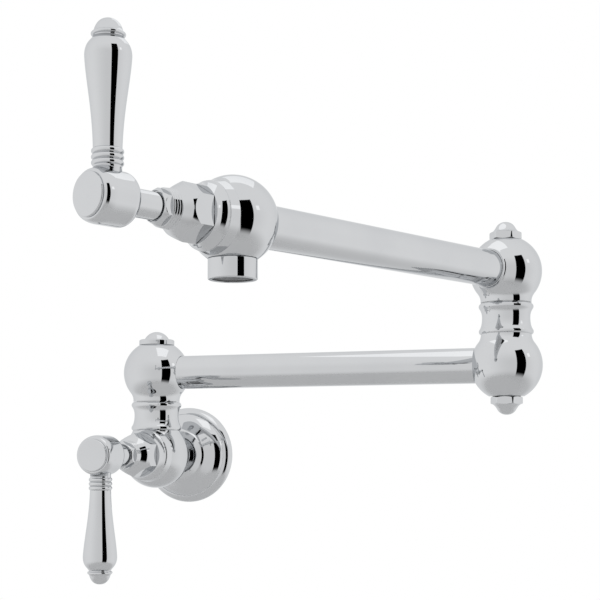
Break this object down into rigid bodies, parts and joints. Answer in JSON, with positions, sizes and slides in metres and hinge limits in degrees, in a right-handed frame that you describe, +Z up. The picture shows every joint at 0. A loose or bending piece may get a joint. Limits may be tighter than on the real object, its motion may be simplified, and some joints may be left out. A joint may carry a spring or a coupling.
{
  "type": "wall-mounted pot filler",
  "caption": "Wall-mounted pot filler with folding arms on ball swivels and a quarter-turn lever valve at the wall and at the spout.",
  "frame": {"origin": "centre of the threaded inlet, in the plane of the wall", "axes": "+Z up, +Y into the wall along the inlet, +X along the first arm as it rests"},
  "size_m": [0.2927, 0.3586, 0.2713],
  "materials": {
    "chrome": "polished",
    "brass": "machined",
    "steel": "fine mesh and turned steel",
    "rubber": "smooth",
    "ceramic": "lapped",
    "nylon": "moulded"
  },
  "bodies": {
    "wall_body": {"wall_flange": "chrome", "flange_ring": "rubber", "base_valve_body": "chrome", "post_collar": "chrome", "post_spindle": "brass", "post_rings": "rubber", "post_washer": "nylon", "post_cap": "chrome", "base_seal": "rubber", "base_fixed_disc": "ceramic", "base_cartridge": "brass", "base_bonnet": "chrome", "base_packing": "rubber", "base_packing_nut": "chrome"},
    "base_handle": {"base_turning_disc": "ceramic", "base_stem": "brass", "base_sleeve": "chrome", "base_hub": "chrome", "base_hub_screw": "steel", "base_hub_cap": "chrome", "base_lever": "chrome", "base_lever_stud": "steel"},
    "first_arm": {"post_ball": "chrome", "lower_arm": "chrome", "elbow_lower_ball": "chrome", "elbow_collar": "chrome", "elbow_spindle": "brass", "elbow_rings": "rubber", "elbow_washer": "nylon", "elbow_top_nut": "chrome", "elbow_bottom_nut": "chrome"},
    "second_arm": {"elbow_upper_ball": "chrome", "upper_arm": "chrome", "head_valve_body": "chrome", "aerator_shell": "chrome", "aerator_washer": "rubber", "aerator_core": "nylon", "aerator_screen": "steel", "head_seal": "rubber", "head_fixed_disc": "ceramic", "head_cartridge": "brass", "head_bonnet": "chrome", "head_packing": "rubber", "head_packing_nut": "chrome"},
    "head_handle": {"head_turning_disc": "ceramic", "head_stem": "brass", "head_sleeve": "chrome", "head_hub": "chrome", "head_hub_screw": "steel", "head_hub_cap": "chrome", "head_lever": "chrome", "head_lever_stud": "steel"}
  },
  "joints": [
    {"name": "post_swivel", "type": "hinge", "parent": "wall_body", "child": "first_arm", "pos_m": [0, -0.0528, 0.0553], "axis": [0, 0, 1], "range_deg": [-180, 0]},
    {"name": "elbow_swivel", "type": "hinge", "parent": "first_arm", "child": "second_arm", "pos_m": [0.2374, -0.0528, 0.1129], "axis": [0, 0, 1], "range_deg": [-67.9, 292.1]},
    {"name": "base_valve_turn", "type": "hinge", "parent": "wall_body", "child": "base_handle", "pos_m": [0, -0.1302, 0], "axis": [0, -1, 0], "range_deg": [0, 90]},
    {"name": "head_valve_turn", "type": "hinge", "parent": "second_arm", "child": "head_handle", "pos_m": [0.14808, -0.27276, 0.1129], "axis": [-0.3762, -0.9265, 0], "range_deg": [0, 90]}
  ]
}
